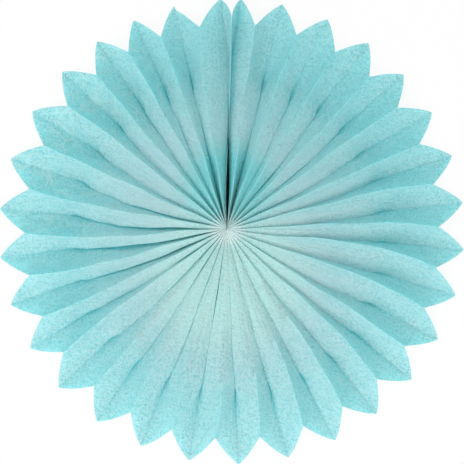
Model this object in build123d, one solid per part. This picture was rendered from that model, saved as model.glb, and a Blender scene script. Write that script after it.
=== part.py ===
from build123d import *
import os
import numpy as np

# A tissue paper fan rosette, opened to a full circle and laid face up. One accordion-pleated strip
# stands round a hub on the Z axis. Its valley folds lie on the plane Z = 0 and run to the petal tips,
# and its mountain folds run to the notches between the petals. The strip's two end panels close on
# each other at the seam. The twist of each panel, upright at the hub and nearly flat at the rim, is
# taken up in flat facets with small creases, because paper bends but doesn't stretch.
# Bearings run clockwise from +Y, as seen from above.

# The rosette, in millimetres and degrees
petal_count = 31
fan_radius = 200.0          # hub to petal tip, on average
off_centre = 4.7            # how far the pleats pull the outline off the hub
off_centre_bearing = 118.0
petal_point_depth = 23.0    # tip to notch, along the radius
pleat_depth = 21.0          # one panel from fold to fold, and the height at the hub
rim_ridge_height = 10.8     # height of a mountain fold at its notch, on average
sheet_thickness = 0.15      # plies of tissue pressed together
hub_clearance = 0.03        # air beside each panel where the pleats are stacked at the hub
valley_land = 0.55          # half width of the flat pressed under a valley fold, at the tip
ridge_land = 0.30           # half width of the flat along a mountain fold, at the notch

# The seam between the two end panels
seam_bearing = 1.3
seam_band_depth = 5.0       # strip of each end panel that stands upright against the other
seam_rim_drop = 2.7         # how much lower the seam's top edge is at the rim than at the hub
slit_width = 2.7            # the open part of the seam, at its widest
slit_at_hub = 0.30
tape_thickness = 0.10
tape_margin = 0.6           # bare paper round the tape

# The thread that ties the hub
thread_diameter = 0.5
thread_ring_radius = 5.5
thread_height = 6.0
thread_hole_clearance = 0.15
thread_sides = 6            # of its section, and of the needle holes

# Widths of the petals, clockwise from the seam, as shares of an even pitch
petal_width_shares = [0.57, 1.02, 1.01, 1.00, 0.99, 1.00, 1.00, 1.00, 0.96, 0.97, 1.00,
                      1.00, 1.02, 1.03, 1.05, 1.05, 1.05, 1.06, 1.08, 1.10, 1.00,
                      1.05, 1.04, 1.08, 1.13, 1.13, 1.04, 0.96, 0.87, 0.98, 0.77]
end_tip_share = 0.33        # where the tip of an end petal lies, from the seam across the petal
petal_bulge_share = 0.45    # how far a petal's edge swells past the straight line from tip to notch

# Sideways bow of each mountain fold, as a share of half a pitch, clockwise
ridge_bow_shares = [0.0, -0.1, 0.0, 0.1, -0.1, 0.0, -0.35, -0.35, -0.70, -0.45,
                    -0.10, -0.40, -0.30, -0.35, -0.40, -0.35, 0.0, 0.10, -0.10, 0.20,
                    -0.20, -0.35, -0.40, -0.25, 0.0, 0.15, 0.0, 0.10, 0.15, -0.25]

# Crease rows from the hub to the rim: place along the folds, bow, and how far the bend along a
# panel's middle sinks below the straight line between its folds
row_shares = [0.0, 0.15, 0.32, 0.50, 0.68, 0.85, 1.0]
bow_row_shares = [0.0, 0.55, 0.9, 1.0, 0.85, 0.5, 0.0]
sink_shares = [0.0, 0.03, 0.07, 0.10, 0.13, 0.15, 0.16]
# The same rows on the end panels: gap across the seam, and how far the bend leans to the seam
slit_tail_share = 0.75
seam_gaps = [slit_at_hub, slit_width, slit_tail_share * slit_width] + 4 * [tape_thickness]
lean_shares = [0.5, 0.5, 0.6, 0.7, 0.72, 0.74, 0.75]

# Worked out from the driving sizes
panel_count = 2 * petal_count
hub_radius = (panel_count * (sheet_thickness + hub_clearance) + slit_at_hub) / (2 * np.pi)
hub_step = (360 - np.degrees(slit_at_hub / hub_radius)) / panel_count
half_pitch_width = fan_radius * np.pi / petal_count
band_start_share = 1 - seam_band_depth / pleat_depth
width_shares_mean = sum(petal_width_shares) / petal_count
up = np.array([0.0, 0.0, 1.0])


def direction(bearing):
    angle = np.radians(bearing)
    return np.array([np.sin(angle), np.cos(angle), 0.0])


def edge_radius(bearing, share):
    # Radius of the petals' cut edge, at a share of the sheet's width from the tip to the notch
    tip = fan_radius + off_centre * np.cos(np.radians(bearing - off_centre_bearing))
    return tip - petal_point_depth * share * (1 - petal_bulge_share * (1 - share))


def fold_bearings():
    # Rim bearings of the valley folds, and of the mountain folds between them
    widths = [360 / petal_count * share / width_shares_mean for share in petal_width_shares]
    ridges = [seam_bearing + sum(widths[:i + 1]) for i in range(petal_count - 1)]
    tip_shares = [end_tip_share] + [0.5] * (petal_count - 2) + [1 - end_tip_share]
    valleys = [start + width * share
               for start, width, share in zip([seam_bearing] + ridges, widths, tip_shares)]
    return valleys, ridges


def fold_line(fold, bearing, width_share, bow_share=0.0):
    # Plan points of a fold, row by row. The folds are evenly stacked at the hub, and fold 0 is the seam
    start = hub_radius * direction(seam_bearing + np.degrees(slit_at_hub / hub_radius) / 2 + fold * hub_step)
    end = edge_radius(bearing, width_share) * direction(bearing)
    bow = half_pitch_width * bow_share * direction(bearing + 90)
    return [start + (end - start) * share + bow * share * row_bow
            for share, row_bow in zip(row_shares, bow_row_shares)]


def land_half_width(rim_width, share):
    # The whole sheet at the hub, where the panels stand side by side
    return sheet_thickness + (rim_width - sheet_thickness) * share


def ridge_heights(ridge):
    # A quarter ellipse along the fold. A pleat that is opened wider is flatter at the rim
    spread = (petal_width_shares[ridge] + petal_width_shares[ridge + 1]) / (2 * width_shares_mean)
    rim_height = rim_ridge_height * (2 - spread) ** 2
    return [np.sqrt(pleat_depth ** 2 - (pleat_depth ** 2 - rim_height ** 2) * share ** 2)
            for share in row_shares]


def both_faces(middle, run, rise, across):
    # The points half a sheet in front of the bend and half a sheet behind it
    normal = up * run - across * rise
    normal = normal / np.linalg.norm(normal) * sheet_thickness / 2
    return middle + normal, middle - normal


def panel_points(bearing, valleys, ridge_bearing, ridges, heights, side):
    # Rows of points on a panel's front and back: valley fold, bend, mountain fold
    across = side * direction(bearing + 90)
    over_across = side * direction(ridge_bearing + 90)
    middle_swell = (edge_radius(bearing, 0.5) - (edge_radius(bearing, 0) + edge_radius(bearing, 1)) / 2)
    front, back = [], []
    for valley, ridge, height, share, sink in zip(valleys, ridges, heights, row_shares, sink_shares):
        middle = valley + (ridge - valley) * (0.5 + sink) + up * height * (0.5 - sink)
        middle = middle + direction(bearing) * middle_swell * share
        middle_front, middle_back = both_faces(middle, np.dot(ridge - valley, across), height, across)
        under = across * land_half_width(valley_land, share)
        over = over_across * land_half_width(ridge_land, share)
        front.append([valley + up * sheet_thickness, middle_front, ridge - over + up * height])
        back.append([valley + under, middle_back, ridge + up * (height - sheet_thickness)])
    return front, back


def end_panel_points(bearing, valleys, side):
    # The same for an end panel: valley fold, bend, foot of the upright band, free edge
    along = direction(seam_bearing)
    from_seam = side * direction(seam_bearing + 90)
    across = -side * direction(bearing + 90)
    radii = [edge_radius(bearing, share) for share in (band_start_share / 2, band_start_share, 1)]
    front, back = [], []
    for valley, share, gap, lean in zip(valleys, row_shares, seam_gaps, lean_shares):
        bend, foot, edge = [along * (hub_radius + (radius - hub_radius) * share) for radius in radii]
        top = pleat_depth - seam_rim_drop * share
        bottom = top - seam_band_depth
        near = from_seam * gap / 2
        far = near + from_seam * sheet_thickness
        reach = np.dot(valley, from_seam) - gap / 2
        middle = bend + near + from_seam * reach * (1 - lean) + up * bottom / 2
        middle_front, middle_back = both_faces(middle, reach, bottom, -from_seam)
        under = across * land_half_width(valley_land, share)
        front.append([valley + up * sheet_thickness, middle_front,
                      foot + far + up * bottom, edge + far + up * top])
        back.append([valley + under, middle_back, foot + near + up * bottom, edge + near + up * top])
    return front, back


def flat(*points):
    return Face(Wire(Polyline(*[Vector(*point) for point in points], close=True).edges()))


def patch(side_a, side_b):
    return Face.make_bezier_surface([[Vector(*point) for point in side] for side in (side_a, side_b)])


def rim_arc(inner, start, end, sagitta):
    # The petal's cut edge across one facet, in the facet's own plane
    chord = (end - start) / np.linalg.norm(end - start)
    inward = (inner - start) - chord * np.dot(inner - start, chord)
    crown = (start + end) / 2 - inward / np.linalg.norm(inward) * sagitta
    return Edge.make_three_point_arc(Vector(*start), Vector(*crown), Vector(*end))


def skin(rows, sagittas):
    # One side of a panel: every cell is two flat facets, and the last row ends in the cut edge
    faces, arcs = [], []
    for inner, outer in zip(rows[:-1], rows[1:]):
        for k in range(len(inner) - 1):
            faces.append(flat(inner[k], inner[k + 1], outer[k]))
            if outer is not rows[-1]:
                faces.append(flat(inner[k + 1], outer[k + 1], outer[k]))
            else:
                arc = rim_arc(inner[k + 1], outer[k], outer[k + 1], sagittas[k])
                sides = Polyline(Vector(*outer[k + 1]), Vector(*inner[k + 1]), Vector(*outer[k])).edges()
                faces.append(Face(Wire([arc, *sides])))
                arcs.append(arc)
    return faces, arcs


def panel_faces(front, back, column_shares):
    # Front, back, and the sheet's thickness at the hub and along the petal's cut edge
    sagittas = [petal_bulge_share / 4 * petal_point_depth * (end - start) ** 2
                for start, end in zip(column_shares[:-1], column_shares[1:])]
    faces, arcs = skin(front, sagittas)
    back_faces, back_arcs = skin(back, sagittas)
    faces += back_faces
    for k in range(len(front[0]) - 1):
        faces.append(patch(front[0][k:k + 2], back[0][k:k + 2]))
    faces += [Face.make_surface_from_curves(arc, back_arc) for arc, back_arc in zip(arcs, back_arcs)]
    return faces


def column(rows, index):
    return [row[index] for row in rows]


def make_pleated_tissue():
    valley_bearings, ridge_bearings = fold_bearings()
    valley_lines = [fold_line(2 * petal + 1, bearing, 0)
                    for petal, bearing in enumerate(valley_bearings)]
    ridge_lines = [fold_line(2 * ridge + 2, bearing, 1, ridge_bow_shares[ridge])
                   for ridge, bearing in enumerate(ridge_bearings)]
    faces, panels = [], {}
    for petal, bearing in enumerate(valley_bearings):
        for ridge, side in ((petal - 1, -1), (petal, 1)):
            if 0 <= ridge < petal_count - 1:
                points = panel_points(bearing, valley_lines[petal], ridge_bearings[ridge],
                                      ridge_lines[ridge], ridge_heights(ridge), side)
                column_shares = (0, 0.5, 1)
            else:
                points = end_panel_points(bearing, valley_lines[petal], -side)
                column_shares = (0, band_start_share / 2, band_start_share, 1)
                front_edge, back_edge = column(points[0], -1), column(points[1], -1)
                for row in range(len(row_shares) - 1):
                    faces.append(patch(front_edge[row:row + 2], back_edge[row:row + 2]))
            faces += panel_faces(*points, column_shares)
            panels[petal, ridge] = points

    # Mountain folds: a flat land on top, and a corner that closes the sheet at each end
    for ridge in range(petal_count - 1):
        left_front, left_back = panels[ridge, ridge]
        right_front, _ = panels[ridge + 1, ridge]
        left, right, under = column(left_front, -1), column(right_front, -1), column(left_back, -1)
        for row in range(len(row_shares) - 1):
            faces.append(flat(left[row], right[row], right[row + 1], left[row + 1]))
        faces += [flat(left[end], right[end], under[end]) for end in (0, -1)]

    # Valley folds: a flat land underneath, and the same corners
    for petal in range(petal_count):
        left_front, left_back = panels[petal, petal - 1]
        _, right_back = panels[petal, petal]
        left, right, over = column(left_back, 0), column(right_back, 0), column(left_front, 0)
        faces.append(flat(*left, *right[::-1]))
        faces += [flat(left[end], right[end], over[end]) for end in (0, -1)]
    return Solid(Shell(faces))


def thread_ring(diameter):
    # The thread runs once round the hub, through a needle hole in every panel
    section = Pos(thread_ring_radius, thread_height) * RegularPolygon(diameter / 2, thread_sides)
    return revolve(Plane.XZ * section, Axis.Z)


def make_seam_tape():
    # Double-sided tape between the upright bands, from where the slit closes to the rim
    along = direction(seam_bearing)
    share = row_shares[len(row_shares) - seam_gaps.count(tape_thickness)]
    rim_radius = edge_radius(seam_bearing, 1)
    corners = []
    for part, radial_margin in ((share, tape_margin), (1, -tape_margin)):
        radius = hub_radius + (rim_radius - hub_radius) * part + radial_margin
        top = pleat_depth - seam_rim_drop * part
        ends = [along * radius + up * (top - seam_band_depth + tape_margin),
                along * radius + up * (top - tape_margin)]
        corners += ends if not corners else ends[::-1]
    return extrude(flat(*corners), amount=tape_thickness / 2, both=True)


parts = {
    "pleated_tissue": make_pleated_tissue() - thread_ring(thread_diameter + 2 * thread_hole_clearance),
    "seam_tape": make_seam_tape(),
    "binding_thread": thread_ring(thread_diameter),
}
os.makedirs("parts", exist_ok=True)
for name, shape in parts.items():
    export_step(shape, f"parts/{name}.step")
    print(name, round(shape.volume, 1), "mm3", len(shape.solids()), "solid", shape.is_valid)
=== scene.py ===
import bpy
import numpy as np
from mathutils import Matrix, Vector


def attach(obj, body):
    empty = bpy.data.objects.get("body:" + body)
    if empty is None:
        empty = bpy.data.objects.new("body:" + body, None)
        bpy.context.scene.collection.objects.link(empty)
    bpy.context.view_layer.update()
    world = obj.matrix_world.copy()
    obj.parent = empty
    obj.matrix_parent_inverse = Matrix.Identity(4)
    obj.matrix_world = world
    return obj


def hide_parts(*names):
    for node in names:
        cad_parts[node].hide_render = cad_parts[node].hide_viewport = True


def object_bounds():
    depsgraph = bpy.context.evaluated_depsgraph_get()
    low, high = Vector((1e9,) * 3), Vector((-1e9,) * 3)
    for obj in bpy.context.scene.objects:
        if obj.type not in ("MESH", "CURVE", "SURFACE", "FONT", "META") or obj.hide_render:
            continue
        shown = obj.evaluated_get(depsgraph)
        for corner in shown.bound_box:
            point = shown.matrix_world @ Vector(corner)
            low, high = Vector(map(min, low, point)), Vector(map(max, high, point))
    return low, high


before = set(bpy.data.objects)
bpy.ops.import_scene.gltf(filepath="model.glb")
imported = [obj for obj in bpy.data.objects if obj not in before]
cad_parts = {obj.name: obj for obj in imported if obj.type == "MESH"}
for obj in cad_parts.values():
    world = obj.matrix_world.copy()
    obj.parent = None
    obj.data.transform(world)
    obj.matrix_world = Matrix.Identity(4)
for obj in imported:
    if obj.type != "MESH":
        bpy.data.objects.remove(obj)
cadBox = [list(corner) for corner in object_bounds()]
print("frame loaded")

# The folded sheet, with the same sizes and formulas as the solid.
# Metres and degrees, bearings clockwise from +Y
rosette = {
    "fanRadius": 0.200,
    "offCentre": 0.0047,
    "offCentreBearing": 118.0,
    "pointDepth": 0.023,  # tip to notch
    "pleatDepth": 0.021,
    "rimRidgeHeight": 0.0108,
    "hubRadius": 0.0018,
    "hubTopRadius": 0.0005,  # the pleats' tops are pulled closer together than their feet
    "thickness": 0.00012,
    "seamBearing": 1.3,
    "endTipShare": 0.33,
    "petalBulge": 0.45,
    "petalWidths": [0.57, 1.02, 1.01, 1.00, 0.99, 1.00, 1.00, 1.00, 0.96, 0.97, 1.00,
                    1.00, 1.02, 1.03, 1.05, 1.05, 1.05, 1.06, 1.08, 1.10, 1.00,
                    1.05, 1.04, 1.08, 1.13, 1.13, 1.04, 0.96, 0.87, 0.98, 0.77],
    "ridgeBows": [0.0, -0.1, 0.0, 0.1, -0.1, 0.0, -0.35, -0.35, -0.70, -0.45,
                  -0.10, -0.40, -0.30, -0.35, -0.40, -0.35, 0.0, 0.10, -0.10, 0.20,
                  -0.20, -0.35, -0.40, -0.25, 0.0, 0.15, 0.0, 0.10, 0.15, -0.25],
    "wander": 0.0006,  # how far a ridge strays from its bow
    "wanderRange": (0.3, 1.0),
    "wanderWaves": (1.6, 3.1),
    "columns": [0.0, 0.03, 0.09, 0.18, 0.28, 0.38, 0.48, 0.58, 0.68, 0.78, 0.88, 0.96, 1.0],
    "rows": 64,
    "edgeRow": 0.997,  # one more row, close to the cut edge
    "sharpTurn": 60.0,  # edges that turn more than this aren't smoothed
    "seed": 31,
}
# The form of a panel between its folds. The shares say how full a pleat is, from the hub to the rim
pleats = {
    "places": [0.0, 0.30, 0.45, 0.60, 0.75, 1.0],
    "sideShares": [1.0, 1.0, 0.88, 0.58, 0.18, 0.0],
    "lowerShares": [1.0, 1.0, 0.94, 0.75, 0.40, 0.05],
    "seamShares": [1.0, 1.0, 1.0, 0.95, 0.80, 0.20],
    "slot": 0.0001,  # half the gap between two full pleats
    "overhang": 0.80,  # how far a panel that faces down the fan swells over its valley
    "leftReach": 0.07,  # the pleats on the left cover more of their valleys
    "tuck": 0.88,  # how far the panel behind it lies back
    "tuckDrop": 0.14,
    "roofSlope": 0.15,
    "roofSpread": 0.4,
    "leanSlope": 0.05,
    "lowest": 0.25,
    "upperPower": 1.5,
    "upperPlaces": [0.0, 0.04, 0.10, 0.20, 0.35, 0.60],
    "upperSlopes": [0.3, 1.2, 0.9, 0.35, 0.10, 0.05],  # steeper tops above the hub
    "hollowSlopes": [0.0, 1.4, 2.2, 1.4, 0.3, 0.0],  # a scoop on either side of the slit
    "hollowTurn": 13.0,
    "hollowSpread": 4.0,
    "seamPleat": 4.0,  # a pleat this near to the seam leans over to it
    "seamRoom": 0.0002,
    "curlStart": 0.60,  # the share of fullness where a panel begins to curl
    "weight": 30.0,  # how closely the section follows its corner
    "swellWeight": 22.0,
    "curl": 0.17,  # how much flatter a panel lies at its valley than at its ridge
    "curlSpread": 0.03,
}
seam = {
    "bandDepth": 0.005,  # strip of each end panel that stands against the other
    "rimDrop": 0.0027,
    "footLean": 0.80,
    "footPower": 3,
    "touchPlace": 0.6,  # how far up to the band the two panels touch under the slit
    "slitPlaces": [0.45, 0.60],  # where the slit closes, as shares of the radius
    "shadePlaces": [0.0, 0.1, 0.75, 0.95],  # and where the end panel takes the painted shade of the slit, from the valley up
    "gapPlaces": [0.0, 0.06, 0.13, 0.22, 0.32, 0.42, 0.49, 0.55, 1.0],
    "gaps": [0.0003, 0.0020, 0.0031, 0.0033, 0.0025, 0.0012, 0.0003, 0.0001, 0.0001],
}
creases = {
    "waveRun": 0.75,  # share of half a sine, so that waves are highest two thirds of the way out
    "buckle": 0.0008,  # soft waves along every panel
    "buckles": 4,
    "buckleSpans": (0.035, 0.11),
    "buckleTurn": 0.9,
    "crumple": 0.0026,  # sharp creases on the crushed petals
    "crumples": 3,
    "crumpleSpans": (0.016, 0.04),
    "crumpleTurn": 1.3,
    "crumpleMean": 0.6,
    "crumplePlaces": [0.0, 0.3, 0.55, 0.9, 1.0],
    "crumpleShares": [0.0, 0.1, 1.0, 1.0, 0.5],
    "crumpleBearings": [260.0, 280.0, 333.0, 345.0],
    "rib": 0.00014,  # fine creases that run out from the hub
    "ribBeat": 0.6,
    "ribWaves": (0.8, 2.5),
    "ribPlaces": [0.05, 0.3],
    "groove": 0.00025,  # along the valleys
    "grooveWidth": 0.03,
    "groovePlaces": [0.2, 0.6],
    "tornPanel": 59,  # its edge is cut a little lower than its neighbour's
    "tornDepth": 0.0034,
    "tornColumns": [0.0, 0.03, 0.5, 1.0],
    "tornShares": [0.0, 1.0, 0.8, 0.0],
    "tornRows": [0.9, 1.0],
}

sheetMarks = ("crumpled", "fromRidge", "valley", "cutEdge", "shadedSide", "inSlit")
petalCount = len(rosette["petalWidths"])
panelCount = 2 * petalCount
draws = np.random.default_rng(rosette["seed"])


def direction(bearing):
    # Unit vectors in plan at the given bearings
    angle = np.radians(bearing)
    return np.stack([np.sin(angle), np.cos(angle), np.zeros_like(angle)], axis=-1)


def edgeRadius(bearing, share):
    # Mean tip radius, plus a cosine for the off-centre outline, less a slope that swells towards the notch
    r = rosette
    tip = r["fanRadius"] + r["offCentre"] * np.cos(np.radians(bearing - r["offCentreBearing"]))
    return tip - r["pointDepth"] * share * (1 - r["petalBulge"] * (1 - share))


def foldBearings():
    # Bearings at the rim of all 63 folds, from one side of the seam round to the other
    widths = np.array(rosette["petalWidths"])
    widths = 360 * widths / widths.sum()
    starts = rosette["seamBearing"] + np.concatenate([[0], np.cumsum(widths)])
    tipShares = np.full(petalCount, 0.5)
    tipShares[0], tipShares[-1] = rosette["endTipShare"], 1 - rosette["endTipShare"]
    bearings = np.empty(panelCount + 1)
    bearings[0::2] = starts
    bearings[1::2] = starts[:-1] + widths * tipShares
    return bearings


def foldLines(along, bearings):
    # A straight line from the hub to the rim, plus a parabola for its bow and two sines for its wander
    fold = np.arange(panelCount + 1)
    isRidge = fold % 2 == 0
    gapAngle = np.degrees(seam["gaps"][0] / rosette["hubRadius"])
    hubBearing = rosette["seamBearing"] + gapAngle / 2 + fold * (360 - gapAngle) / panelCount
    hub = np.where(isRidge, rosette["hubTopRadius"], rosette["hubRadius"])
    start = hub[:, None] * direction(hubBearing)
    end = edgeRadius(bearings, isRidge * 1.0)[:, None] * direction(bearings)
    bows = np.zeros(panelCount + 1)
    bows[2:-1:2] = rosette["ridgeBows"]
    halfPitch = rosette["fanRadius"] * np.pi / petalCount
    phase = draws.uniform(0, 2 * np.pi, (2, panelCount + 1))
    size = rosette["wander"] * draws.uniform(*rosette["wanderRange"], (2, panelCount + 1)) * isRidge
    size[:, [0, -1]] = 0
    s = along[None, :]
    side = halfPitch * bows[:, None] * s * 4 * s * (1 - s)
    for turn, waves in enumerate(rosette["wanderWaves"]):
        wave = np.sin(2 * np.pi * waves * s + phase[turn][:, None])
        side = side + size[turn][:, None] * wave * np.sin(np.pi * s)
    across = direction(bearings + 90)
    return start[:, None] + (end - start)[:, None] * s[..., None] + across[:, None] * side[..., None]


def ridgeHeights(along):
    # A quarter ellipse from the full pleat depth at the hub to the rim height, lower on a wider pleat
    widths = np.array(rosette["petalWidths"])
    spread = (widths[:-1] + widths[1:]) / 2 / widths.mean()
    rim = rosette["rimRidgeHeight"] * (2 - spread)[:, None] ** 2
    full = rosette["pleatDepth"]
    return np.sqrt(full ** 2 - (full ** 2 - rim ** 2) * along[None, :] ** 2)


def conic(t, pointX, pointZ, weight):
    # A curve from (0, 0) to (1, 1) that the weight draws towards the point
    scale = (1 - t) ** 2 + 2 * t * (1 - t) * weight + t ** 2
    return [(2 * t * (1 - t) * weight * point + t ** 2) / scale for point in (pointX, pointZ)]


def openPanel(t, s, low, high, other, height, bearing, turn):
    # At the rim a panel leaves its valley flat and meets its ridge steeply. Near the hub the pleats are full.
    # On either side of the hub they lean: the panel that faces down the fan swells over its valley, and the
    # one behind it lies back. Further out the corner of the full pleat sinks while the panel starts to curl
    p = pleats
    angle = np.radians(bearing)
    fromSeam = (bearing - rosette["seamBearing"] + 180) % 360 - 180
    upper, lower = max(0.0, np.cos(angle)) ** p["upperPower"], max(0.0, -np.cos(angle))
    fullness = np.interp(s, p["places"], p["sideShares"])
    fullness = fullness + (np.interp(s, p["places"], p["lowerShares"]) - fullness) * lower
    opened = np.interp(fullness, [0, p["curlStart"]], [1, 0])
    lean = np.sin(angle) * turn
    breadth = np.linalg.norm(high - low, axis=-1)[None]
    room = np.linalg.norm(other - low, axis=-1)[None]
    if abs(fromSeam) < p["seamPleat"]:
        # Beside the seam a panel stays full for longer, and swells only as far as the band of the end panel
        lean = 1.0
        across = direction(rosette["seamBearing"] + 90)
        near, far = (np.abs(line @ across)[None] for line in (low, high))
        free = near - np.interp(s, seam["gapPlaces"], seam["gaps"]) / 2 - p["seamRoom"]
        fullness = np.interp(s, p["places"], p["seamShares"])
        opened = np.zeros_like(fullness)
        room = np.maximum(free, 0) / (far - near) * breadth / p["overhang"] / fullness
    swell, back = max(lean, 0.0), max(-lean, 0.0)
    hollow = np.exp(-((abs(fromSeam) - p["hollowTurn"]) / p["hollowSpread"]) ** 2)
    slope = p["roofSlope"] * (1 + p["roofSpread"] * draws.uniform(-1, 1)) + p["leanSlope"] * swell
    slope = slope + upper * np.interp(s, p["upperPlaces"], p["upperSlopes"])
    slope = slope + hollow * np.interp(s, p["upperPlaces"], p["hollowSlopes"])
    overhang = p["overhang"] + p["leftReach"] * max(0.0, -np.sin(angle))
    hubX = p["slot"] / breadth - overhang * swell * room / breadth + p["tuck"] * back
    hubZ = np.maximum(1 - slope * (1 - hubX) * breadth / height - p["tuckDrop"] * back, p["lowest"])
    bend = p["curl"] + p["curlSpread"] * draws.uniform(-1, 1)
    pointX = (0.5 + 2 * bend) * opened + hubX * fullness ** 2
    pointZ = (0.5 - 2 * bend) * opened + hubZ * fullness
    weight = p["weight"] + (p["swellWeight"] - p["weight"]) * swell
    x, z = conic(t, pointX, pointZ, 1 + (weight - 1) * fullness ** 2)
    bulge = rosette["pointDepth"] * rosette["petalBulge"] * x * (1 - x) * s
    plan = low[None] + (high - low)[None] * x[..., None]
    plan = plan + direction(bearing)[None, None] * bulge[..., None]
    return plan, rosette["thickness"] * (0.5 - z) + height * z, (1 - x) * breadth


def endPanel(t, s, low, along, side):
    # The panel beside the seam is a quadratic curve that climbs from its valley to an upright band.
    # The band faces the other end's band, half the gap of the slit away from the seam
    band = 1 - seam["bandDepth"] / rosette["pleatDepth"]
    top = rosette["pleatDepth"] - seam["rimDrop"] * s
    foot = top - seam["bandDepth"]
    outward = direction(rosette["seamBearing"])
    fromSeam = side * direction(rosette["seamBearing"] + 90)
    hub = rosette["hubTopRadius"]
    radius = hub + (edgeRadius(rosette["seamBearing"], t) - hub) * s
    gap = np.interp(along, seam["gapPlaces"], seam["gaps"])
    place = (gap + rosette["thickness"])[None, :, None] / 2
    v = np.clip(t / band, 0, 1)
    offset = (low @ fromSeam)[None, :, None]
    loose = offset + (place - offset) * seam["footLean"]
    # Under the slit the control point puts the curve on the seam at the place where the two panels touch
    up = seam["touchPlace"]
    touching = -(offset * (1 - up) ** 2 + place * up ** 2) / (2 * up * (1 - up))
    control = loose + (touching - loose) * np.interp(along, seam["slitPlaces"], [1, 0])[None, :, None]
    w = v[..., None]
    sideways = offset * (1 - w) ** 2 + control * 2 * w * (1 - w) + place * w ** 2
    plan = outward * radius[..., None] + fromSeam * sideways
    plan = plan + (low[None] - plan) * (1 - w) ** seam["footPower"]
    rise = 2 * v * (1 - v) * (1 - seam["footLean"]) + v ** 2
    z = np.where(t <= band, foot * rise, foot + (t - band) / (1 - band) * (top - foot))
    return plan, np.maximum(z, rosette["thickness"] / 2), (1 - t) * rosette["pleatDepth"]


def creaseLift(t, s, crushed):
    # How far the sheet stands off its smooth form: soft waves, sharp creases, ribs and a valley groove
    c = creases
    width, length = rosette["pleatDepth"] * t, rosette["fanRadius"] * s

    def wave(kind):
        mostTurn = c[kind + "Turn"]
        span, angle = draws.uniform(*c[kind + "Spans"]), draws.uniform(-mostTurn, mostTurn)
        return (width * np.sin(angle) + length * np.cos(angle)) / span + draws.uniform(0, 1)

    free = 4 * t * (1 - t)
    soft = sum(np.sin(2 * np.pi * wave("buckle")) for _ in range(c["buckles"])) / c["buckles"]
    sharp = sum(np.abs(np.sin(np.pi * wave("crumple"))) for _ in range(c["crumples"])) / c["crumples"]
    sharp = (sharp - c["crumpleMean"]) * np.interp(s, c["crumplePlaces"], c["crumpleShares"])
    rib = draws.uniform(-1, 1, t.shape)
    beat = c["ribBeat"] * draws.uniform(-1, 1, t.shape)
    turns = s * draws.uniform(*c["ribWaves"], t.shape) + draws.uniform(0, 1, t.shape)
    rib = (rib + beat * np.sin(2 * np.pi * turns)) * np.interp(s, c["ribPlaces"], [0, 1])
    lift = free * (c["buckle"] * soft + c["crumple"] * crushed * sharp) * np.sin(np.pi * c["waveRun"] * s)
    groove = (1 - np.exp(-t / c["grooveWidth"])) * (1 - t) * np.interp(s, c["groovePlaces"], [0, 1])
    return lift + free * c["rib"] * rib + c["groove"] * groove


def sheetMiddle():
    # The middle surface and the marks on it, in columns round the fan and rows from the hub to the rim
    along = np.append(np.linspace(0, 1, rosette["rows"] + 1), rosette["edgeRow"])
    along.sort()
    bearings = foldBearings()
    lines = foldLines(along, bearings)
    heights = ridgeHeights(along)
    columns = np.array(rosette["columns"])
    s = along[None, :]
    parts = []
    for panel in range(panelCount):
        valley, ridge = (panel, panel + 1) if panel % 2 else (panel + 1, panel)
        t = (columns if panel % 2 else 1 - columns)[:, None]
        turn = 1 if ridge < valley else -1
        inSlit = 0.0
        if ridge in (0, panelCount):
            plan, z, fromRidge = endPanel(t, s, lines[valley], along, turn)
            # Where the end panel takes the painted shade inside the slit
            inSlit = np.interp(t, seam["shadePlaces"], [0, 1, 1, 0]) * np.interp(s, seam["slitPlaces"], [1, 0])
        else:
            plan, z, fromRidge = openPanel(t, s, lines[valley], lines[ridge], lines[2 * valley - ridge],
                                           heights[ridge // 2 - 1][None, :], bearings[valley], turn)
        crushed = np.interp(bearings[valley], creases["crumpleBearings"], [0, 1, 1, 0])
        if panel == creases["tornPanel"]:
            cut = np.interp(t, creases["tornColumns"], creases["tornShares"])
            cut = cut * np.interp(s, creases["tornRows"], [0, creases["tornDepth"]])
            plan = plan - direction(bearings[valley]) * cut[..., None]
        point = np.concatenate([plan[..., :2], z[..., None]], axis=-1)
        marks = np.stack(np.broadcast_arrays(
            creaseLift(t, s, crushed),
            (panel + columns[:, None]) * rosette["pleatDepth"],
            rosette["fanRadius"] * s,
            crushed,
            fromRidge,
            np.interp(t, [0, creases["grooveWidth"]], [1, 0]),
            np.interp(s, [rosette["edgeRow"], 1], [0, 1]),
            # the panels that face up the fan, away from the key light, get painted shade
            max(0.0, -turn * np.sin(np.radians(bearings[valley]))),
            inSlit), axis=-1)
        parts.append(np.concatenate([point, marks], axis=-1)[0 if panel == 0 else 1:])
    return np.concatenate(parts)


def gridNormals(points):
    # The cross product of the two directions of the grid
    normal = np.cross(np.gradient(points, axis=0), np.gradient(points, axis=1))
    return normal / np.maximum(np.linalg.norm(normal, axis=-1, keepdims=True), 1e-12)


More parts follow.
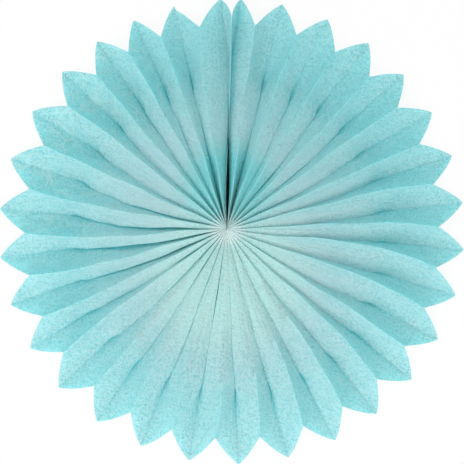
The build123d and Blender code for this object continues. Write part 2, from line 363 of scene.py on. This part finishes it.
def shellMesh(name, front, back, marks):
    # Two grids a sheet's thickness apart, with a strip of faces round their edge
    columns, rows = front.shape[:2]
    count = columns * rows
    number = np.arange(count).reshape(columns, rows)
    corners = number[:-1, :-1], number[1:, :-1], number[1:, 1:], number[:-1, 1:]
    a, b, c, d = (part.ravel() for part in corners)
    top = np.stack([a, d, c, b], axis=1)
    under = np.stack([a, b, c, d], axis=1) + count
    loop = np.concatenate([number[:-1, 0], number[-1, :-1], number[:0:-1, -1], number[0, :0:-1]])
    after = np.roll(loop, -1)
    rim = np.stack([loop, after, after + count, loop + count], axis=1)
    faces = np.concatenate([top, under, rim]).astype(np.int32)
    points = np.concatenate([front.reshape(-1, 3), back.reshape(-1, 3)])
    mesh = bpy.data.meshes.new(name)
    mesh.vertices.add(len(points))
    mesh.loops.add(faces.size)
    mesh.polygons.add(len(faces))
    mesh.vertices.foreach_set("co", points.astype(np.float32).ravel())
    mesh.loops.foreach_set("vertex_index", faces.ravel())
    mesh.polygons.foreach_set("loop_start", np.arange(0, faces.size, 4, dtype=np.int32))
    mesh.polygons.foreach_set("use_smooth", np.ones(len(faces), dtype=bool))
    mesh.update()
    both = np.tile(marks.reshape(count, -1), (2, 1)).astype(np.float32)
    both[:count, -1] = 0  # only the under side of the end panels faces into the slit and takes its painted shade
    mesh.uv_layers.new(name="sheet").data.foreach_set("uv", both[faces.ravel(), 1:3].ravel())
    for place, mark in enumerate(sheetMarks, 3):
        mesh.attributes.new(mark, "FLOAT", "POINT").data.foreach_set("value", both[:, place].copy())
    mesh.set_sharp_from_angle(angle=np.radians(rosette["sharpTurn"]))
    mesh.validate()
    piece = bpy.data.objects.new(name, mesh)
    bpy.context.scene.collection.objects.link(piece)
    return piece


def makeSheet():
    # The creases lift the middle surface along its normals, and each face lies half a thickness off it.
    # Both faces stay inside the box of the solids
    grid = sheetMiddle()
    middle, marks = grid[..., :3], grid[..., 3:]
    middle = middle + gridNormals(middle) * marks[..., :1]
    half = gridNormals(middle) * rosette["thickness"] / 2
    front, back = (np.clip(middle + way * half, *cadBox) for way in (1, -1))
    if half[..., 2].mean() < 0:
        front, back = back, front
    return shellMesh("folded_tissue", front, back, marks)


class Pin:
    # One output of a node, so that shader maths is written as sums
    def __init__(self, tree, socket=None):
        self.tree, self.socket = tree, socket

    def make(self, kind, settings=None, values=None, output=0):
        node = self.tree.nodes.new(kind)
        for name, value in (settings or {}).items():
            setattr(node, name, value)
        for name, value in (values or {}).items():
            if isinstance(value, Pin):
                self.tree.links.new(value.socket, node.inputs[name])
            else:
                node.inputs[name].default_value = value
        return Pin(self.tree, node.outputs[output]) if node.outputs else None

    def other(self, output):
        return Pin(self.tree, self.socket.node.outputs[output])

    def maths(self, operation, first, second=None):
        values = {0: first} if second is None else {0: first, 1: second}
        return self.make("ShaderNodeMath", {"operation": operation}, values)

    def __add__(self, other):
        return self.maths("ADD", self, other)

    def __mul__(self, other):
        return self.maths("MULTIPLY", self, other)

    def __sub__(self, other):
        return self.maths("SUBTRACT", self, other)

    def __rsub__(self, other):
        return self.maths("SUBTRACT", other, self)

    __radd__, __rmul__ = __add__, __mul__


def startMaterial(name):
    material = bpy.data.materials.new(name)
    material.use_nodes = True
    material.node_tree.nodes.clear()
    return material, Pin(material.node_tree)


def between(pin, low, high, value):
    # A share from 0 at low to 1 at high, with soft ends
    return pin.make("ShaderNodeMapRange", {"interpolation_type": "SMOOTHSTEP"},
                    {"Value": value, "From Min": low, "From Max": high})


def ramp(share, start, end):
    # A straight run from the start value at share 0 to the end value at share 1
    return share * (end - start) + start


def mixColour(pin, share, first, second):
    return pin.make("ShaderNodeMix", {"data_type": "RGBA"}, {0: share, 6: first, 7: second}, output=2)


def noise(pin, vector, scale, detail, roughness=0.5):
    return pin.make("ShaderNodeTexNoise", None,
                    {"Vector": vector, "Scale": scale, "Detail": detail, "Roughness": roughness})


def distanceTo(pin, place, centre):
    # The distance in plan
    away = pin.make("ShaderNodeVectorMath", {"operation": "SUBTRACT"}, {0: place, 1: centre})
    flat = pin.make("ShaderNodeVectorMath", {"operation": "MULTIPLY"}, {0: away, 1: (1, 1, 0)})
    return pin.make("ShaderNodeVectorMath", {"operation": "LENGTH"}, {0: flat}, output=1)


# Noises are given as size, detail and roughness. Dyes, painted light and painted shade are mixed in by the
# shares, in the order of the list
tissueFinish = {
    "grain": (520.0, 1.0, 0.6),
    "cloud": (60.0, 4.0),
    "streak": (1.0, 3.0),
    "streakTurns": 30.0,
    "streakLength": 14.0,
    "dye": (0.84, 0.93, 0.96, 1),
    # the pale colour serves both the tissue's own uneven tone and the painted light on the lower side
    "paleDye": (1.0, 0.92, 0.94, 1),
    "cloudShare": 0.55,  # of the soft patches, the rest being streaks
    "patchEdges": (0.40, 0.60),
    "patchShare": 0.3,
    "lowerSideLightRange": (0.15, -0.12),  # painted light: the lower side, towards the key light, is paler than the upper
    "lowerSideLightShare": 0.6,
    "shadedSideDye": (0.50, 0.92, 0.96, 1),  # painted shade on the panels that face up the fan, away from the key light
    "shadedSideShare": 0.35,
    "hubShadowDye": (0.30, 0.84, 0.86, 1),
    "hubShadowPlace": (0.0, 0.035, 0.0),  # painted shadow of the hub, darkest here above it
    "hubShadowReach": (0.052, 0.02),
    "hubShadowShare": 0.8,
    "hubLightDye": (0.76, 1.0, 0.96, 1),
    "hubLightPlace": (0.0, -0.040, 0.0),  # painted light, brightest here below the hub
    "hubLightReach": (0.10, 0.02),
    "hubYield": 0.7,  # how far the painted light below the hub gives way to the painted shadow above it
    "fibreDye": (0.32, 0.62, 0.66, 1),
    "fibreRange": (0.06, 0.14),  # streaks near the hub, grain towards the rim
    "fibreEdges": (0.42, 0.66),
    "grainShares": (0.3, 0.9),
    "fibreShares": (0.22, 0.62),
    # painted highlight along the ridges
    "ridgeHighlightDye": (0.84, 1.0, 0.98, 1),
    "ridgeHighlightEdges": (0.0008, 0.0),
    "ridgeHighlightRange": (0.12, 0.05),  # the painted highlight on the ridges is strongest from here in
    "crestShares": (0.5, 0.9),
    # painted shade along the valley folds
    "valleyShadeDye": (0.30, 0.70, 0.74, 1),
    "valleyShadeShare": 0.2,
    # painted highlight on the crumpled creases; their relief is the bump
    "creaseHighlightDye": (1.0, 1.0, 1.0, 1),
    "crackSize": 65.0,
    "crackEdges": (0.0, 0.10),
    "crackPatches": (0.42, 0.55),
    "crackRange": (0.100, 0.125),
    "creaseHighlightShare": 0.8,
    # darker along the cut edge
    "cutEdgeDark": (0.22, 0.55, 0.58, 1),
    "cutEdgeDarkShare": 0.6,
    "fleckDye": (0.05, 0.12, 0.12, 1),
    "fleckPlace": (0.0352, 0.0870, 0.0),
    "fleckEdges": (0.0008, 0.0004),
    "slitShadeDye": (0.02, 0.10, 0.11, 1),  # painted shade inside the slit
    "through": (0.40, 0.98, 0.99, 1),
    "throughShares": (0.62, 0.45),  # away from the painted light below the hub and on it
    "coreRange": (0.004, 0.020),  # where the pleats meet no light comes through
    "roughEdges": (0.3, 0.7),
    "roughness": (0.43, 0.58),
    "shine": 0.6,
    "sheen": 0.3,
    "sheenRoughness": 0.5,
    "grainDepth": 0.0013,
    "streakDepth": 0.0008,
    "crackDepth": 0.0005,
}


def tissueMaterial():
    look = tissueFinish
    material, pin = startMaterial("tissue")
    place = pin.make("ShaderNodeTexCoord", output=3)
    crumpled, fromRidge, valley, cutEdge, shadedSide, inSlit = (
        pin.make("ShaderNodeAttribute", {"attribute_name": name}, output=2) for name in sheetMarks)
    split = pin.make("ShaderNodeSeparateXYZ", None, {0: place})
    turn = pin.maths("ARCTAN2", split, split.other(1)) * look["streakTurns"]
    radius = distanceTo(pin, place, (0, 0, 0))
    polar = pin.make("ShaderNodeCombineXYZ", None, {0: turn, 1: radius * look["streakLength"]})
    grain = noise(pin, place, *look["grain"])
    cloud = noise(pin, place, *look["cloud"])
    streak = noise(pin, polar, *look["streak"])
    cracks = pin.make("ShaderNodeTexVoronoi", {"feature": "DISTANCE_TO_EDGE"},
                      {"Vector": place, "Scale": look["crackSize"]})
    crack = (1 - between(pin, *look["crackEdges"], cracks)) * crumpled
    crack = crack * between(pin, *look["crackPatches"], cloud) * between(pin, *look["crackRange"], radius)

    patches = cloud * look["cloudShare"] + streak * (1 - look["cloudShare"])
    pale = between(pin, *look["patchEdges"], patches) * look["patchShare"]
    # The pale patches are the tissue's own uneven tone; the lower side, towards the key light, gets painted
    # light
    pale = pale + between(pin, *look["lowerSideLightRange"], split.other(1)) * look["lowerSideLightShare"]
    colour = mixColour(pin, pale, look["dye"], look["paleDye"])
    # Painted shade on the panels that face up the fan, away from the key light
    colour = mixColour(pin, shadedSide * look["shadedSideShare"], colour, look["shadedSideDye"])
    # Painted shadow of the hub on the sheet above it
    hubShadow = between(pin, *look["hubShadowReach"], distanceTo(pin, place, look["hubShadowPlace"]))
    colour = mixColour(pin, hubShadow * look["hubShadowShare"], colour, look["hubShadowDye"])
    # Painted light below the hub, on the side towards the key light; the same patch lets more light through
    hub = between(pin, *look["hubLightReach"], distanceTo(pin, place, look["hubLightPlace"]))
    colour = mixColour(pin, hub * (1 - hubShadow * look["hubYield"]), colour, look["hubLightDye"])
    outer = between(pin, *look["fibreRange"], radius)
    fibres = streak + (grain - streak) * ramp(outer, *look["grainShares"])
    fibres = between(pin, *look["fibreEdges"], fibres) * ramp(outer, *look["fibreShares"])
    colour = mixColour(pin, fibres, colour, look["fibreDye"])
    # Painted highlight along the ridges
    crest = ramp(between(pin, *look["ridgeHighlightRange"], radius), *look["crestShares"])
    crest = between(pin, *look["ridgeHighlightEdges"], fromRidge) * crest
    colour = mixColour(pin, crest, colour, look["ridgeHighlightDye"])
    # Painted shade along the valley folds
    colour = mixColour(pin, valley * look["valleyShadeShare"], colour, look["valleyShadeDye"])
    # Painted highlight on the crumpled creases; their relief comes from the bump
    colour = mixColour(pin, crack * look["creaseHighlightShare"], colour, look["creaseHighlightDye"])
    # Darker along the cut edge
    colour = mixColour(pin, cutEdge * look["cutEdgeDarkShare"], colour, look["cutEdgeDark"])
    fleck = between(pin, *look["fleckEdges"], distanceTo(pin, place, look["fleckPlace"]))
    colour = mixColour(pin, fleck, colour, look["fleckDye"])

    roughness = ramp(between(pin, *look["roughEdges"], grain), *look["roughness"])
    height = grain * look["grainDepth"] + streak * look["streakDepth"] + crack * look["crackDepth"]
    bump = pin.make("ShaderNodeBump", None, {"Height": height, "Distance": 1.0})  # heights in metres
    paper = pin.make("ShaderNodeBsdfPrincipled", None,
                     {"Base Color": colour, "Roughness": roughness, "Normal": bump,
                      "Specular IOR Level": look["shine"], "Sheen Weight": look["sheen"],
                      "Sheen Roughness": look["sheenRoughness"]})
    glow = pin.make("ShaderNodeBsdfTranslucent", None, {"Color": look["through"], "Normal": bump})
    through = ramp(hub, *look["throughShares"]) * between(pin, *look["coreRange"], radius)
    whole = pin.make("ShaderNodeMixShader", None, {0: through, 1: paper, 2: glow})
    # Painted shade inside the slit, a plain matte in place of the tissue
    dark = pin.make("ShaderNodeBsdfDiffuse", None, {"Color": look["slitShadeDye"]})
    whole = pin.make("ShaderNodeMixShader", None, {0: inSlit, 1: whole, 2: dark})
    pin.make("ShaderNodeOutputMaterial", None, {"Surface": whole})
    return material


# The tape and the thread keep the form of their solids
tapeFinish = {
    "dye": (0.80, 0.80, 0.75, 1),
    "paleDye": (0.90, 0.90, 0.86, 1),
    "cloud": (300.0, 3.0),
    "patchEdges": (0.35, 0.65),
    "roughness": 0.4,
    "depth": 0.00005,
}
threadFinish = {
    "dye": (0.72, 0.74, 0.70, 1),
    "paleDye": (0.92, 0.92, 0.88, 1),
    "cloud": (2500.0, 3.0),
    "patchEdges": (0.35, 0.65),
    "roughness": 0.8,
    "depth": 0.00005,
}


def plainMaterial(name, look):
    material, pin = startMaterial(name)
    place = pin.make("ShaderNodeTexCoord", output=3)
    cloud = noise(pin, place, *look["cloud"])
    shade = mixColour(pin, between(pin, *look["patchEdges"], cloud), look["dye"], look["paleDye"])
    bump = pin.make("ShaderNodeBump", None, {"Height": cloud, "Distance": look["depth"]})
    paper = pin.make("ShaderNodeBsdfPrincipled", None,
                     {"Base Color": shade, "Roughness": look["roughness"], "Normal": bump})
    pin.make("ShaderNodeOutputMaterial", None, {"Surface": paper})
    return material


sheetPiece = makeSheet()
sheetPiece.data.materials.append(tissueMaterial())
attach(sheetPiece, "root")
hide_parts("pleated_tissue")
print("sheet made,", len(sheetPiece.data.polygons) * 2, "triangles")

for node, name, look in (("seam_tape", "tape", tapeFinish), ("binding_thread", "thread", threadFinish)):
    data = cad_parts[node].data
    data.materials.clear()
    data.materials.append(plainMaterial(name, look))
print("tape and thread given their looks")

# The floor, the light and the camera
studio = {
    "floorSize": 6.0,
    "floorDrop": 0.0003,
    "floorShade": (0.90, 0.90, 0.90, 1),
    "floorGlow": 0.9,
    "glowRange": (0.160, 0.170),  # the camera sees the floor glow only from here out
    "skyLevel": 0.86,
    "keyPower": 20.0,
    "keySize": 1.2,
    "keyPlace": (-0.75, -1.55, 1.10),
    "lens": 200.0,
    "sensor": 36.0,
    "viewWidth": 0.3988,
    "aim": (0.0044, -0.0026),
    "clip": (0.05, 20.0),
}


def makeFloor():
    # A pale matte floor, which the camera sees nearly white away from the fan
    half, drop = studio["floorSize"] / 2, -studio["floorDrop"]
    mesh = bpy.data.meshes.new("floor")
    mesh.from_pydata([(-half, -half, drop), (half, -half, drop), (half, half, drop), (-half, half, drop)],
                     [], [(0, 1, 2, 3)])
    floor = bpy.data.objects.new("floor", mesh)
    bpy.context.scene.collection.objects.link(floor)
    material, pin = startMaterial("floor")
    place = pin.make("ShaderNodeTexCoord", output=3)
    outside = between(pin, *studio["glowRange"], distanceTo(pin, place, (0, 0, 0)))
    matte = pin.make("ShaderNodeBsdfDiffuse", None, {"Color": studio["floorShade"]})
    glow = pin.make("ShaderNodeEmission", None, {"Color": (1, 1, 1, 1), "Strength": 1.0})
    seen = pin.make("ShaderNodeLightPath") * outside * studio["floorGlow"]
    whole = pin.make("ShaderNodeMixShader", None, {0: seen, 1: matte, 2: glow})
    pin.make("ShaderNodeOutputMaterial", None, {"Surface": whole})
    mesh.materials.append(material)


def makeSky():
    # An even light all round, white to the camera and in gloss and glass
    world = bpy.data.worlds.new("studio")
    bpy.context.scene.world = world
    world.use_nodes = True
    world.node_tree.nodes.clear()
    pin = Pin(world.node_tree)
    path = pin.make("ShaderNodeLightPath")
    seen = path
    for name in ("Is Glossy Ray", "Is Transmission Ray"):
        seen = pin.maths("MAXIMUM", seen, path.other(name))
    level = seen * (1 - studio["skyLevel"]) + studio["skyLevel"]
    sky = pin.make("ShaderNodeBackground", None, {"Color": (1, 1, 1, 1), "Strength": level})
    pin.make("ShaderNodeOutputWorld", None, {"Surface": sky})


def makeLamp(name, place, size, power):
    lamp = bpy.data.lights.new(name, "AREA")
    lamp.shape, lamp.size, lamp.energy = "SQUARE", size, power
    holder = bpy.data.objects.new(name, lamp)
    bpy.context.scene.collection.objects.link(holder)
    holder.location = place
    holder.rotation_euler = (-holder.location).to_track_quat("-Z", "Y").to_euler()


makeFloor()
makeSky()
makeLamp("key", studio["keyPlace"], studio["keySize"], studio["keyPower"])
print("studio made")

camera = bpy.data.objects.new("camera", bpy.data.cameras.new("camera"))
bpy.context.scene.collection.objects.link(camera)
camera.data.lens, camera.data.sensor_width = studio["lens"], studio["sensor"]
camera.location = (*studio["aim"], studio["viewWidth"] * studio["lens"] / studio["sensor"])
camera.data.clip_start, camera.data.clip_end = studio["clip"]
bpy.context.scene.camera = camera
bpy.context.scene.view_settings.view_transform = "Standard"
